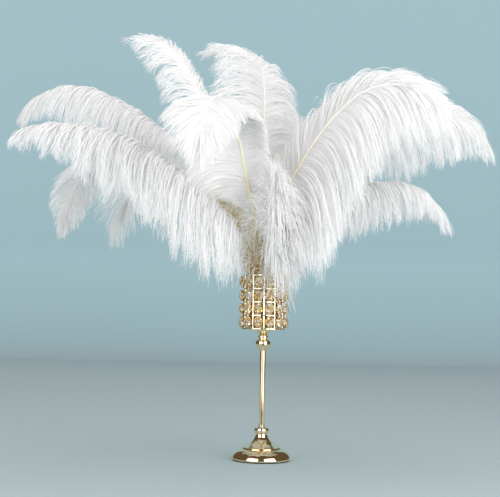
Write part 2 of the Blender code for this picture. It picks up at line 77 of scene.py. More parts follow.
# One entry for each plume:
#   slot    where its quill stands in the cup, in degrees round from +X; also the seed of its numbers
#   shaft   the points that its shaft passes above the rim
#   side    which way its first vane points, low down and at the tip; its second points the other way
#   angles  for each vane, the angle in degrees between barb and shaft, low down and at the tip
#   vanes   for each vane, its longest barb, the share of that left at the tip, how fast its barbs turn
#           down (per metre), and the share of the shaft where it starts
#   barbs   how many each vane has
#   loose   how loose they lie, from 0 (combed) to 1 (blown about)
#   rise    by how many degrees each vane's barbs rise as they leave the shaft
#   grow    how soon along each vane its barbs reach full length; (0.1, 0.1) where it isn't given
#   fan     by how many degrees barbs also fan out to each side; such a plume parts into no locks
# Slots and shafts are the part's, but for feather_front_right, whose shaft is up to 6 mm from the
# part's. Most vanes are fitted to the photograph more closely than the part's stiff ones.
PLUMES = {
    "feather_left_front": dict(
        slot=219,
        shaft=[(-0.049, -0.035, 0.392), (-0.101, -0.050, 0.442), (-0.160, -0.062, 0.491),
               (-0.226, -0.072, 0.529), (-0.288, -0.082, 0.546), (-0.345, -0.089, 0.549),
               (-0.384, -0.093, 0.544)],
        side=[(0, -1, 0), (0, -1, 0)], angles=[(56, 52), (56, 52)],
        vanes=[(0.170, 0.30, 18, 0.27), (0.110, 0.26, 26, 0.44)],
        barbs=(1600, 900), loose=0.85, rise=(4, 0), grow=(0.05, 0.1),
    ),
    "feather_left_upper": dict(
        slot=196,
        shaft=[(-0.085, 0.022, 0.452), (-0.132, 0.035, 0.516), (-0.195, 0.050, 0.574),
               (-0.263, 0.063, 0.617), (-0.322, 0.075, 0.639), (-0.368, 0.083, 0.640),
               (-0.402, 0.088, 0.630)],
        side=[(0, -1, -0.2), (0, -1, -0.1)], angles=[(58, 60), (58, 56)],
        vanes=[(0.135, 0.60, 18, 0.50), (0.085, 0.60, 26, 0.50)],
        barbs=(1200, 700), loose=0.35, rise=(12, 8),
    ),
    "feather_left_rear": dict(
        slot=150,
        shaft=[(-0.106, 0.085, 0.423), (-0.191, 0.135, 0.489), (-0.259, 0.165, 0.526),
               (-0.312, 0.190, 0.521), (-0.347, 0.200, 0.490), (-0.366, 0.205, 0.452),
               (-0.376, 0.205, 0.418)],
        side=[(-0.6, -0.8, 0), (-1, -0.3, 0)], angles=[(62, 44), (62, 44)],
        vanes=[(0.100, 0.42, 14, 0.36), (0.118, 0.36, 16, 0.44)],
        barbs=(700, 700), loose=0.65, rise=(14, 14),
    ),
    "feather_back_left": dict(
        slot=122,
        shaft=[(-0.058, 0.130, 0.458), (-0.132, 0.231, 0.526), (-0.205, 0.298, 0.532),
               (-0.256, 0.331, 0.498), (-0.278, 0.340, 0.445)],
        side=[(-0.8, -0.6, 0), (-0.7, -0.7, 0)], angles=[(62, 80), (66, 80)],
        vanes=[(0.105, 0.80, 9, 0.48), (0.105, 0.80, 9, 0.42)],
        barbs=(520, 560), loose=0.8, rise=(10, 10),
    ),
    "feather_top_left": dict(
        slot=173,
        shaft=[(-0.057, 0.006, 0.431), (-0.093, 0.018, 0.545), (-0.115, 0.025, 0.618),
               (-0.136, 0.032, 0.660), (-0.158, 0.038, 0.693), (-0.180, 0.042, 0.713),
               (-0.204, 0.044, 0.724)],
        side=[(-0.8, -0.6, -0.3), (-0.6, -0.7, -0.8)], angles=[(34, 62), (26, 40)],
        vanes=[(0.078, 0.70, 14, 0.58), (0.034, 0.76, 4, 0.56)],
        barbs=(430, 560), loose=0.75, rise=(0, 0),
    ),
    "feather_top": dict(
        slot=66,
        shaft=[(-0.002, 0.064, 0.463), (-0.003, 0.088, 0.573), (-0.004, 0.107, 0.642),
               (-0.009, 0.119, 0.684), (-0.021, 0.128, 0.709), (-0.037, 0.132, 0.721),
               (-0.054, 0.134, 0.725)],
        side=[(-1, 0.8, 0), (-0.5, -0.9, 0)], angles=[(80, 66), (58, 50)],
        vanes=[(0.178, 0.42, 7, 0.44), (0.130, 0.24, 12, 0.46)],
        barbs=(900, 1100), loose=0.7, rise=(0, 5),
    ),
    "feather_front": dict(
        slot=243,
        shaft=[(-0.019, -0.050, 0.413), (-0.033, -0.078, 0.470), (-0.049, -0.112, 0.537),
               (-0.064, -0.140, 0.574), (-0.079, -0.172, 0.583), (-0.092, -0.207, 0.570),
               (-0.099, -0.230, 0.545), (-0.102, -0.240, 0.520)],
        side=[(-1, 0, 0), (-1, 0, 0)], angles=[(52, 84), (68, 84)],
        vanes=[(0.112, 0.56, 9, 0.36), (0.100, 0.82, 16, 0.36)],
        barbs=(1200, 1600), loose=0.15, rise=(6, -4), grow=(0.1, 0.55),
    ),
    "feather_right_front": dict(
        slot=315,
        shaft=[(0.017, -0.035, 0.420), (0.040, -0.048, 0.466), (0.062, -0.060, 0.505),
               (0.090, -0.074, 0.547), (0.121, -0.088, 0.583), (0.157, -0.098, 0.611),
               (0.194, -0.106, 0.621), (0.232, -0.112, 0.615), (0.264, -0.116, 0.595),
               (0.280, -0.118, 0.572)],
        side=[(0.7, -0.6, -0.4), (0.2, -1, -0.4)], angles=[(60, 36), (40, 22)],
        vanes=[(0.185, 0.46, 12, 0.20), (0.186, 0.18, 6, 0.30)],
        barbs=(1700, 1200), loose=0.4, rise=(0, 0),
    ),
    "feather_right_far": dict(
        slot=8,
        shaft=[(0.060, 0.032, 0.453), (0.140, 0.078, 0.542), (0.219, 0.105, 0.595),
               (0.279, 0.122, 0.617), (0.322, 0.133, 0.618), (0.355, 0.141, 0.610),
               (0.381, 0.147, 0.594)],
        side=[(0, -0.9, -0.5), (0, -0.8, -0.9)], angles=[(62, 56), (62, 50)],
        vanes=[(0.138, 0.58, 16, 0.56), (0.090, 0.85, 14, 0.60)],
        barbs=(1000, 800), loose=0.4, rise=(14, 18),
    ),
    "feather_right_low": dict(
        slot=342,
        shaft=[(0.050, -0.008, 0.404), (0.089, -0.006, 0.431), (0.135, -0.003, 0.454),
               (0.181, 0.000, 0.469), (0.222, 0.003, 0.471), (0.256, 0.005, 0.463),
               (0.280, 0.006, 0.448)],
        side=[(0, -1, 0), (0, -1, 0)], angles=[(60, 60), (60, 56)],
        vanes=[(0.120, 0.62, 20, 0.40), (0.100, 0.60, 28, 0.46)],
        barbs=(1000, 700), loose=0.5, rise=(14, 8),
    ),
    "feather_front_right": dict(
        slot=283,
        shaft=[(0.016, -0.056, 0.362), (0.017, -0.073, 0.395), (0.017, -0.084, 0.422),
               (0.016, -0.091, 0.440), (0.015, -0.095, 0.452)],
        side=[(-1, 0, 0), (-1, 0, 0)], angles=[(26, 20), (34, 20)],
        vanes=[(0.088, 0.55, 8, 0.50), (0.098, 0.62, 18, 0.36)],
        barbs=(1100, 1500), loose=1.0, rise=(0, 0), fan=120,
    ),
    "feather_back_right": dict(
        slot=38,
        shaft=[(0.053, 0.078, 0.441), (0.107, 0.180, 0.530), (0.155, 0.262, 0.575),
               (0.191, 0.322, 0.570), (0.211, 0.350, 0.528)],
        side=[(0.8, -0.6, 0), (0.8, -0.6, 0)], angles=[(62, 30), (62, 30)],
        vanes=[(0.070, 0.55, 16, 0.46), (0.078, 0.55, 16, 0.48)],
        barbs=(480, 520), loose=0.6, rise=(10, 10),
    ),
    "feather_back": dict(
        slot=94,
        shaft=[(-0.004, 0.110, 0.439), (0.000, 0.190, 0.540), (0.002, 0.265, 0.600),
               (0.004, 0.330, 0.610), (0.006, 0.375, 0.575)],
        side=[(-1, 0, 0), (-1, 0, 0)], angles=[(62, 30), (62, 30)],
        vanes=[(0.085, 0.55, 14, 0.48), (0.090, 0.55, 14, 0.46)],
        barbs=(480, 480), loose=0.6, rise=(10, 10),
    ),
}
LOCKS = 70  # that the barbs of one vane part into
BARB_WIDTH = 1.9 * MM  # a barb and the close barbules along it
BARBULES = 12  # on each barb; a real one has some hundreds, too fine to show
BARBULE_LENGTH = 3.2 * MM
BARBULE_WIDTH = 0.44 * MM  # at its root
LOOSE_BARBS = 150  # below the vanes of each plume
LOOSE_BARB_LENGTH = (22 * MM, 66 * MM)
LOOSE_BARB_STEPS = 12
SHAFT_SIDES = 8
SHAFT_RINGS = 90
SHAFT_END = 0.992  # its last share is finer than the barbs round it
LINE_POINTS = 801  # along a shaft's line, from which all places on it are read


def unit(vectors):
    """The vectors, each at length 1."""
    return vectors / np.linalg.norm(vectors, axis=-1, keepdims=True)


def smooth(x, low, high):
    """0 below low, 1 above high, and 3t^2 - 2t^3 between them."""
    t = np.clip((x - low) / (high - low), 0, 1)
    return t * t * (3 - 2 * t)


def curve_through(points, count):
    """Even steps along cubics through the points, whose slope at each comes from its neighbours."""
    points = np.array(points, float)
    knots = np.append(0, np.cumsum(np.linalg.norm(np.diff(points, axis=0), axis=1)))
    slopes = np.gradient(points, knots, axis=0)
    fine = np.linspace(0, knots[-1], 400)
    span = np.clip(np.searchsorted(knots, fine, side="right") - 1, 0, len(knots) - 2)
    width = (knots[span + 1] - knots[span])[:, None]
    s = (fine - knots[span])[:, None] / width
    curve = (1 + 2 * s) * (1 - s) ** 2 * points[span] + s * s * (3 - 2 * s) * points[span + 1]
    curve += s * (1 - s) * width * ((1 - s) * slopes[span] - s * slopes[span + 1])
    length = np.append(0, np.cumsum(np.linalg.norm(np.diff(curve, axis=0), axis=1)))
    even = np.linspace(0, length[-1], count)
    return np.stack([np.interp(even, length, column) for column in curve.T], axis=1)


def shaft_line(plan, count):
    """The shaft's whole line, from the cup's floor past its rim and on through the plan's points."""
    slot = math.radians(plan["slot"])
    outward = np.array([math.cos(slot), math.sin(slot), 0])
    on_floor = outward * FLOOR_RING_RADIUS + [0, 0, QUILL_FOOT]
    at_rim = outward * RIM_RING_RADIUS + [0, 0, CUP_TOP]
    over_rim = at_rim + 0.30 * (at_rim - on_floor) + 0.04 * (np.array(plan["shaft"][0]) - at_rim)
    return curve_through([on_floor, at_rim, over_rim] + plan["shaft"], count)


def at_share(line, shares):
    """The line's value at each share of its length, between its even points."""
    place = np.clip(shares, 0, 1) * (len(line) - 1)
    low = np.minimum(place.astype(int), len(line) - 2)
    part = (place - low)[..., None]
    return line[low] * (1 - part) + line[low + 1] * part


def barb_lengths(shares, longest, at_tip, start, grow):
    """Lengths grow along the vane as 1.06 - exp(-along / grow), at most 1, and fall off as along^2.4."""
    along = np.clip((shares - start) / (1 - start), 0, 1)
    return longest * np.minimum(1, 1.06 - np.exp(-along / grow)) * (1 - (1 - at_tip) * along**2.4)


def barb_angles(angles, share):
    """The angle between barb and shaft: from one value to the other as share^4, and closed at the tip."""
    low, tip = np.radians(angles)
    return (low + (tip - low) * share**4) * (1 - 0.9 * smooth(share, 0.90, 1.0))


def barb_paths(root, forward, sideways, length, angle, droop, lift, steps):
    """The points of each barb, [barb, step, xyz].

    A barb leaves its shaft at angle, tipped out of the vane's plane by lift. Its heading then falls
    towards straight down as 1 - exp(-droop x distance along it).
    """
    normal = np.cross(forward, sideways)
    out = np.cos(lift)[:, None] * sideways + np.sin(lift)[:, None] * normal
    leaving = np.cos(angle)[:, None] * forward + np.sin(angle)[:, None] * out
    reach = (np.arange(steps) + 0.5) / steps * length[:, None]
    fallen = (1 - np.exp(-droop[:, None] * reach))[:, :, None]
    heading = unit((1 - fallen) * leaving[:, None, :] + fallen * np.array([0, 0, -1.0]))
    moved = np.cumsum(heading * (length / steps)[:, None, None], axis=1)
    return root[:, None, :] + np.concatenate([np.zeros_like(moved[:, :1]), moved], axis=1)


def curl(forward, normal, size, power, turns, phase, steps):
    """A barb's sideways sway, size x s^power, whose direction winds round it turns times as s goes 0 to 1."""
    s = np.linspace(0, 1, steps + 1)
    wound = (phase[:, None] + math.tau * turns[:, None] * s)[:, :, None]
    sway = (size[:, None] * s**power)[:, :, None]
    return sway * (np.cos(wound) * forward[:, None] + np.sin(wound) * normal[:, None])


def vane(plan, line, heading, choice, rng):
    """One vane's barbs: [barb, step, xyz], each one's place (0.5 to 1 along the vane), and its normal.

    Barbs are blended into the path of their lock, more and more towards their ends, and each then gets
    a fine wave of its own. The looser the plume, the more its locks and barbs differ.
    """
    longest, at_tip, droop, start = plan["vanes"][choice]
    count, loose, rise = plan["barbs"][choice], plan["loose"], plan["rise"][choice]
    sign = 1 - 2 * choice  # the second vane points the other way
    steps = int(np.clip(longest / (9 * MM), 10, 18))
    low_side, tip_side = (np.array(way, float) for way in plan["side"])

    def grown(share, size, sag, turn, lift, sway, turns, phase):
        """The paths of barbs at these shares, whose other arguments say how each differs from the plan."""
        forward = unit(at_share(heading, share))
        side = low_side + (tip_side - low_side) * share[:, None]
        side = sign * unit(side - (side * forward).sum(1, keepdims=True) * forward)
        upward = sign * np.sign(np.cross(forward, side)[:, 2])
        grow = plan.get("grow", (0.1, 0.1))[choice]
        length = barb_lengths(share, longest, at_tip, start, grow) * size
        tipped = (lift + math.radians(rise)) * sign * upward
        angle = barb_angles(plan["angles"][choice], share) + turn
        paths = barb_paths(at_share(line, share), forward, side, length, angle, droop * sag, tipped, steps)
        normal = np.cross(forward, side)
        sway = curl(forward, normal, sway * length, 2.2, turns, phase, steps)
        return paths + sway, forward, normal, length

    lock_share = start + (1 - start) * (np.arange(LOCKS) + 0.5) / LOCKS
    of_lock = dict(
        size=rng.uniform(0.90, 1.06, LOCKS),
        sag=np.exp(rng.normal(0, 0.10 * loose, LOCKS)),
        turn=np.radians(rng.normal(0, 3 * loose, LOCKS)),
        lift=np.radians(rng.normal(0, 5 * loose, LOCKS)),
        sway=rng.uniform(0.03, 0.12, LOCKS) * loose,
        turns=rng.uniform(-1.0, 1.0, LOCKS),
        phase=rng.uniform(0, math.tau, LOCKS),
    )
    lock_paths = grown(lock_share, **of_lock)[0]

    share = start + (1 - start) * (np.arange(count) + rng.random(count)) / count
    place = (share - start) / (1 - start) * LOCKS + rng.normal(0, 0.5, count)
    lock = np.clip(place.astype(int), 0, LOCKS - 1)
    own = {name: values[lock] for name, values in of_lock.items()}
    own["size"] = own["size"] * rng.uniform(0.84, 1.04, count)
    own["sag"] = own["sag"] * np.exp(rng.normal(0, 0.20 * loose, count))
    own["turn"] = own["turn"] + np.radians(rng.normal(0, 1 + 3 * loose, count))
    own["lift"] = own["lift"] + np.radians(rng.normal(0, 2 + 6 * loose, count))
    own["lift"] = own["lift"] + np.radians(rng.uniform(-1, 1, count) * plan.get("fan", 0))
    own["sway"] = own["sway"] + rng.uniform(0.0, 0.05 * loose, count)
    paths, forward, normal, length = grown(share, **own)
    s = np.linspace(0, 1, steps + 1)
    drawn = (0 if "fan" in plan else 0.15 + 0.35 * loose) * smooth(s, 0.3, 1.0)[None, :, None]
    paths = paths + drawn * (lock_paths[lock] - paths)
    ripple = rng.uniform(0.2, 1.0, count) * (0.4 + 1.6 * loose) * MM
    turns = length / rng.uniform(22 * MM, 40 * MM, count)
    paths = paths + curl(forward, normal, ripple, 0.7, turns, rng.uniform(0, math.tau, count), steps)
    return paths, 0.5 + 0.5 * (share - start) / (1 - start), normal


def down(plan, line, heading, rng):
    """Loose barbs that hang all round the shaft below its vanes: paths, places (0 to 0.5) and normals."""
    count = LOOSE_BARBS
    start = min(vane_plan[3] for vane_plan in plan["vanes"])
    lowest, highest = 0.47, 1.05  # of the share where the first vane starts
    share = rng.uniform(lowest * start, highest * start, count)
    forward = unit(at_share(heading, share))
    first = unit(np.cross(forward, [0.0, 1.0, 0.2]))  # no shaft runs this way so low down
    second = np.cross(forward, first)
    round_it = rng.uniform(0, math.tau, (count, 1))
    out = np.cos(round_it) * first + np.sin(round_it) * second
    length = rng.uniform(*LOOSE_BARB_LENGTH, count)
    droop = rng.uniform(16, 45, count)
    angle = np.radians(rng.normal(47, 12, count))
    root, lift = at_share(line, share), np.zeros(count)
    paths = barb_paths(root, forward, out, length, angle, droop, lift, LOOSE_BARB_STEPS)
    normal = np.cross(forward, out)
    sway = rng.uniform(0.02, 0.16, count) * length
    turns = rng.uniform(-1, 1, count)
    phase = rng.uniform(0, math.tau, count)
    place = 0.5 * (share / start - lowest) / (highest - lowest)
    return paths + curl(forward, normal, sway, 2.0, turns, phase, LOOSE_BARB_STEPS), place, normal


def ribbons(paths, normal, half_width, rng):
    """A flat strip along each path, half_width x (1 - 0.75 s^1.4) to each side, that winds round it.

    It starts near the vane's own plane, and winds by up to about half a turn as s^1.5.
    """
    along = unit(np.gradient(paths, axis=1))
    s = np.linspace(0, 1, paths.shape[1])
    flat = unit(np.cross(along, normal[:, None]))
    edge = np.cross(flat, along)
    wind = rng.normal(0, 0.35, (len(paths), 1)) + rng.normal(0, 3.0, (len(paths), 1)) * s**1.5
    across = np.cos(wind)[:, :, None] * flat + np.sin(wind)[:, :, None] * edge
    across = across * (half_width * (1 - 0.75 * s**1.4))[None, :, None]
    points = np.stack([paths - across, paths + across], axis=2)
    rows = np.arange(len(paths) * paths.shape[1] * 2).reshape(len(paths), paths.shape[1], 2)
    quads = np.stack([rows[:, :-1, 0], rows[:, :-1, 1], rows[:, 1:, 1], rows[:, 1:, 0]], axis=-1)
    return points.reshape(-1, 3), quads.reshape(-1, 4)


def barbules(paths, normal, length, count, rng):
    """Thin triangles, count on each path, standing off it at 35 to 60 degrees on alternate sides."""
    s = (np.arange(count) + rng.random((len(paths), count))) / count
    place = s * (paths.shape[1] - 1)
    low = np.minimum(place.astype(int), paths.shape[1] - 2)
    barb = np.arange(len(paths))[:, None]
    part = (place - low)[..., None]
    root = paths[barb, low] * (1 - part) + paths[barb, low + 1] * part
    along = unit(paths[barb, low + 1] - paths[barb, low])
    across = unit(np.cross(along, normal[:, None]))
    up = np.cross(across, along)
    roll = rng.normal(0, 0.7, s.shape)[..., None]
    side = np.where(np.arange(count) % 2, 1.0, -1.0)[None, :, None]
    off = side * np.cos(roll) * across + np.sin(roll) * up
    lean = np.radians(rng.uniform(35, 60, s.shape))[..., None]
    tip = np.cos(lean) * along + np.sin(lean) * off
    size = (length * rng.uniform(0.6, 1.1, s.shape) * (1 - 0.6 * s))[..., None]
    base = BARBULE_WIDTH / 2 * along
    points = np.stack([root - base, root + base, root + size * tip], axis=2).reshape(-1, 3)
    return points, np.arange(len(points)).reshape(-1, 3), s


def tube(line, radius, sides):
    """A round tube along the line, closed with a point at each end: centre + radius x (cos a, sin a)."""
    forward = unit(np.gradient(line, axis=0))
    no_line_runs = [0.31, 0.95, 0.0]  # a direction that no shaft or wire runs along
    first = unit(np.cross(forward, no_line_runs))
    second = np.cross(forward, first)
    angle = np.arange(sides) / sides * math.tau
    ring = np.cos(angle)[None, :, None] * first[:, None] + np.sin(angle)[None, :, None] * second[:, None]
    points = (line[:, None] + radius[:, None, None] * ring).reshape(-1, 3)
    rows = np.arange(len(line) * sides).reshape(len(line), sides)
    turned = np.roll(rows, -1, axis=1)
    quads = np.stack([rows[:-1], turned[:-1], turned[1:], rows[1:]], axis=-1).reshape(-1, 4)
    low = np.stack([turned[0], rows[0], np.full(sides, len(points))], axis=-1)
    high = np.stack([rows[-1], turned[-1], np.full(sides, len(points) + 1)], axis=-1)
    ends = [line[:1] - forward[:1] * radius[0], line[-1:] + forward[-1:] * radius[-1]]
    return np.concatenate([points, *ends]), quads, np.concatenate([low, high])


def joined(parts):
    """Points, quads and triangles of several parts as one set of arrays."""
    first = np.cumsum([0] + [len(part[0]) for part in parts[:-1]])
    return (
        np.concatenate([part[0] for part in parts]),
        np.concatenate([part[1] + offset for part, offset in zip(parts, first)]),
        np.concatenate([part[2] + offset for part, offset in zip(parts, first)]),
    )


def mesh_piece(name, points, quads, triangles, shares=None):
    """A piece from whole arrays; shares, each point's place as (along, outwards), is kept as a UV map."""
    corners = np.concatenate([quads.ravel(), triangles.ravel()]).astype(np.int32)
    sizes = np.concatenate([np.full(len(quads), 4), np.full(len(triangles), 3)]).astype(np.int32)
    mesh = bpy.data.meshes.new(name)
    mesh.vertices.add(len(points))
    mesh.vertices.foreach_set("co", np.ascontiguousarray(points, np.float32).ravel())
    mesh.loops.add(len(corners))
    mesh.loops.foreach_set("vertex_index", corners)
    mesh.polygons.add(len(sizes))
    mesh.polygons.foreach_set("loop_start", np.append(0, np.cumsum(sizes[:-1])).astype(np.int32))
    if shares is not None:
        uv = mesh.uv_layers.new(name="shares")
        uv.data.foreach_set("uv", shares[corners].astype(np.float32).ravel())
    mesh.update(calc_edges=True)
    mesh.validate()
    piece = bpy.data.objects.new(name, mesh)
    bpy.context.scene.collection.objects.link(piece)
    return piece


def places(share, s, corners):
    """The place (along, outwards) of every point, where each step s along a barb has this many points."""
    outwards = s[..., None] * np.ones(corners)
    return np.stack(np.broadcast_arrays(share[:, None, None], outwards), axis=-1).reshape(-1, 2)


def plume(name, plan, finishes):
    """One plume, in one mesh that replaces the solid: the shaft, and all barbs with their barbules."""
    rng = np.random.default_rng(plan["slot"])
    line = shaft_line(plan, LINE_POINTS)
    heading = np.gradient(line, axis=0)
    ring_share = np.linspace(0, SHAFT_END, SHAFT_RINGS)
    radius = (SHAFT_TIP_DIAMETER + (QUILL_DIAMETER - SHAFT_TIP_DIAMETER) * (1 - ring_share**1.5)) / 2
    radius[0] *= 0.5  # the quill's blunt point
    points, shaft_quads, shaft_triangles = tube(at_share(line, ring_share), radius, SHAFT_SIDES)
    shares = np.zeros((len(points), 2))
    shares[:-2, 0] = np.repeat(ring_share, SHAFT_SIDES)
    shares[-1, 0] = 1
    parts = [(points, shaft_quads, shaft_triangles, shares)]
    no_quads, no_triangles = np.zeros((0, 4), int), np.zeros((0, 3), int)
    groups = [vane(plan, line, heading, choice, rng) for choice in (0, 1)]
    for paths, share, normal in groups + [down(plan, line, heading, rng)]:
        s = np.linspace(0, 1, paths.shape[1])
        strips, strip_quads = ribbons(paths, normal, BARB_WIDTH / 2, rng)
        parts.append((strips, strip_quads, no_triangles, places(share, s[None], 2)))
        hairs, hair_triangles, hair_s = barbules(paths, normal, BARBULE_LENGTH, BARBULES, rng)
        parts.append((hairs, no_quads, hair_triangles, places(share, hair_s, 3)))
    points, quads, triangles = joined(parts)
    shares = np.concatenate([part[3] for part in parts])
    piece = mesh_piece(f"{name}_plume", points, quads, triangles, shares)
    for finish in finishes:
        piece.data.materials.append(finish)
    # The shaft comes first among the quads, and again among the triangles that follow them.
    of_face = np.zeros(len(piece.data.polygons), np.int32)
    of_face[:len(shaft_quads)] = 1
    of_face[len(quads):len(quads) + len(shaft_triangles)] = 1
    piece.data.polygons.foreach_set("material_index", of_face)
    piece.data.polygons.foreach_set("use_smooth", of_face.astype(bool))
    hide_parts(name)
    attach(piece, "root")


# ------------------------------------------------------------------------------------------- the holder


def lathed(runs, sides=96):
    """Runs of (radius, height) in mm from top to bottom, carried round Z as quads with a fan at each end.

    A run of two points is straight, and a longer one is a smooth curve. Runs meet at an edge.
    """
    profile = []
    for run in runs:
        smoothed = np.array(run, float) if len(run) == 2 else curve_through(run, 6 * len(run))
        profile.extend(smoothed[1 if profile else 0:])
    profile = np.array(profile) * MM
    angle = np.arange(sides) / sides * math.tau
    ring = np.stack([np.cos(angle), np.sin(angle)], axis=-1)
    inner = profile[1:-1]
    around = inner[:, None, :1] * ring
    heights = np.broadcast_to(inner[:, None, 1:], (len(inner), sides, 1))
    points = np.concatenate([around, heights], axis=2).reshape(-1, 3)
    rows = np.arange(len(inner) * sides).reshape(len(inner), sides)
    after = np.roll(rows, -1, axis=1)
    quads = np.stack([rows[:-1], rows[1:], after[1:], after[:-1]], axis=-1).reshape(-1, 4)
    top, bottom = rows.size, rows.size + 1
    ends = np.array([[0, 0, profile[0, 1]], [0, 0, profile[-1, 1]]])
    caps = [np.stack([np.full(sides, top), rows[0], after[0]], axis=-1)]
    caps.append(np.stack([np.full(sides, bottom), after[-1], rows[-1]], axis=-1))
    return np.concatenate([points, ends]), quads, np.concatenate(caps)


def swept(line, closed, section, outward, upward):
    """A bar: the section's (outward, upward) offsets carried along a line, as points, quads and cap fans."""
    points = line[:, None] + section[None, :, :1] * outward[:, None] + section[None, :, 1:] * upward[:, None]
    count, sides = points.shape[:2]
    rows = np.arange(count * sides).reshape(count, sides)
    ahead = np.roll(rows, -1, axis=0) if closed else rows[1:]
    here = rows if closed else rows[:-1]
    beside, beside_ahead = np.roll(here, -1, axis=1), np.roll(ahead, -1, axis=1)
    quads = np.stack([here, beside, beside_ahead, ahead], axis=-1).reshape(-1, 4)
    fan = np.arange(1, sides - 1)
    low = np.stack([np.zeros_like(fan), fan + 1, fan], axis=-1)
    high = rows[-1, 0] + np.stack([np.zeros_like(fan), fan, fan + 1], axis=-1)
    caps = np.zeros((0, 3), int) if closed else np.concatenate([low, high])
    return points.reshape(-1, 3), quads, caps


def rounded(width, height, corner, steps=4):
    """A rectangle's outline with round corners, anticlockwise from its right side."""
    outline = []
    inset = np.array([width / 2 - corner, height / 2 - corner])
    for quarter, towards in enumerate([(1, 1), (-1, 1), (-1, -1), (1, -1)]):
        angle = (np.arange(steps + 1) / steps + quarter) * math.pi / 2
        outline.append(inset * towards + corner * np.stack([np.cos(angle), np.sin(angle)], axis=-1))
    return np.concatenate(outline)


def round_axis(turns):
    """Outward unit vectors at these turns of the circle, and the upward ones with them."""
    angle = np.asarray(turns) * math.tau
    outward = np.stack([np.cos(angle), np.sin(angle), np.zeros_like(angle)], axis=-1)
    return outward, np.broadcast_to([0.0, 0.0, 1.0], outward.shape)


def cup_frame():
    """Five rings and twelve uprights of rounded bar, and the cup's thin floor."""
    radius = CUP_DIAMETER / 2 - BAR_THICK / 2
    ring_steps = 144
    parts = []
    outward, upward = round_axis(-np.arange(ring_steps) / ring_steps)
    ring = rounded(BAR_THICK, BAR_THICK, 1.1 * MM)
    for row in range(ROWS + 1):
        middle = CUP_BASE + BAR_THICK / 2 + row * ROW_PITCH
        parts.append(swept(outward * radius + [0, 0, middle], True, ring, outward, upward))
    upright = rounded(BAR_THICK, BAR_WIDTH, 1.4 * MM)
    for column in range(COLUMNS):
        out, _ = round_axis([column / COLUMNS, column / COLUMNS])
        across = np.cross([0.0, 0.0, 1.0], out)
        ends = out * radius + np.array([[0, 0, CUP_BASE + 0.4 * MM], [0, 0, CUP_TOP - 0.4 * MM]])
        parts.append(swept(ends, False, upright, out, across))
    edge, top, under = CUP_DIAMETER / 2 / MM - 2.6, CUP_BASE / MM + 2.8, CUP_BASE / MM + 0.2
    parts.append(lathed([[(0, top), (edge, top)], [(edge, top), (edge, under)], [(edge, under), (0, under)]]))
    return joined(parts)


def cut_bead(middle, outward):
    """One crystal: eight-sided rings from its front face to its back face, joined by flat triangles.

    A ring is its share of the width and height, its share of the depth, and 1 if it is turned by half
    a side. An unturned ring reaches its size with its flats, and a turned one with its corners.
    """
    across = np.cross([0.0, 0.0, 1.0], outward)
    width, depth, height = (size / 2 for size in CRYSTAL)
    front_half = [(0.58, 1.0, 0), (0.90, 0.66, 1), (1.0, 0.10, 0)]
    rings = front_half + [(size, -deep, half) for size, deep, half in reversed(front_half)]
    points = []
    for size, deep, half in rings:
        angle = (np.arange(8) + 0.5 + 0.5 * half) / 8 * math.tau
        stretch = 1 / math.cos(math.pi / 8) if not half else 1.0
        sideways = (np.cos(angle) * width * size * stretch)[:, None] * across
        upwards = (np.sin(angle) * height * size * stretch)[:, None] * np.array([0, 0, 1.0])
        points.append(middle + sideways + upwards + deep * depth * outward)
    faces = []
    side = np.arange(8)
    after = (side + 1) % 8
    for ring in range(len(rings) - 1):
        near, far = 8 * ring, 8 * ring + 8
        turn = rings[ring + 1][2] - rings[ring][2]
        if turn > 0:
            corners = [(near + side, far + side, near + after), (near + after, far + side, far + after)]
        elif turn < 0:
            corners = [(near + side, far + after, near + after), (near + side, far + side, far + after)]
        else:
            corners = [(near + side, far + side, far + after), (near + side, far + after, near + after)]
        faces += [np.stack(triangle, axis=-1) for triangle in corners]
    front = np.stack([np.zeros(6, int), np.arange(1, 7), np.arange(2, 8)], axis=-1)
    back = 8 * (len(rings) - 1) + front[:, ::-1]
    return np.concatenate(points), np.zeros((0, 4), int), np.concatenate([front, *faces, back])


def crystal_strand(column, finishes):
    """The four beads of one column, and the gold wire they are threaded on."""
    (outward,), (upward,) = round_axis([(column + 0.5) / COLUMNS])
    # The middle of the beads is 0.9 mm outside the straight line between the faces of two uprights.
    out = CUP_DIAMETER / 2 * math.cos(math.pi / COLUMNS - math.asin(BAR_WIDTH / CUP_DIAMETER)) + 0.9 * MM
    beads = []
    for row in range(ROWS):
        height = CUP_BASE + BAR_THICK / 2 + (row + 0.5) * ROW_PITCH
        beads.append(cut_bead(outward * out + upward * height, outward))
    wire_radius, wire_steps = 0.5 * MM, 12
    heights = np.linspace(CUP_BASE + 1.3 * MM, CUP_TOP - 1.3 * MM, wire_steps)
    wire = tube(outward * out + heights[:, None] * upward, np.full(wire_steps, wire_radius), 8)
    piece = mesh_piece(f"crystal_beads_{column + 1:02d}", *joined(beads + [wire]))
    for finish in finishes:
        piece.data.materials.append(finish)
    # All quads are the wire's, and so are the last triangles.
    of_face = np.zeros(len(piece.data.polygons), np.int32)
    of_face[:len(wire[1])] = 1
    of_face[len(of_face) - len(wire[2]):] = 1
    piece.data.polygons.foreach_set("material_index", of_face)
    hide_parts(f"crystal_strand_{column + 1:02d}")
    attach(piece, "root")


def holder_piece(name, node, arrays, finish):
    """A holder piece that is smooth but for its edges over 35 degrees."""
    piece = mesh_piece(name, *arrays)
    piece.data.polygons.foreach_set("use_smooth", np.ones(len(piece.data.polygons), bool))
    piece.data.set_sharp_from_angle(angle=math.radians(35))
    piece.data.materials.append(finish)
    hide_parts(node)
    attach(piece, "root")


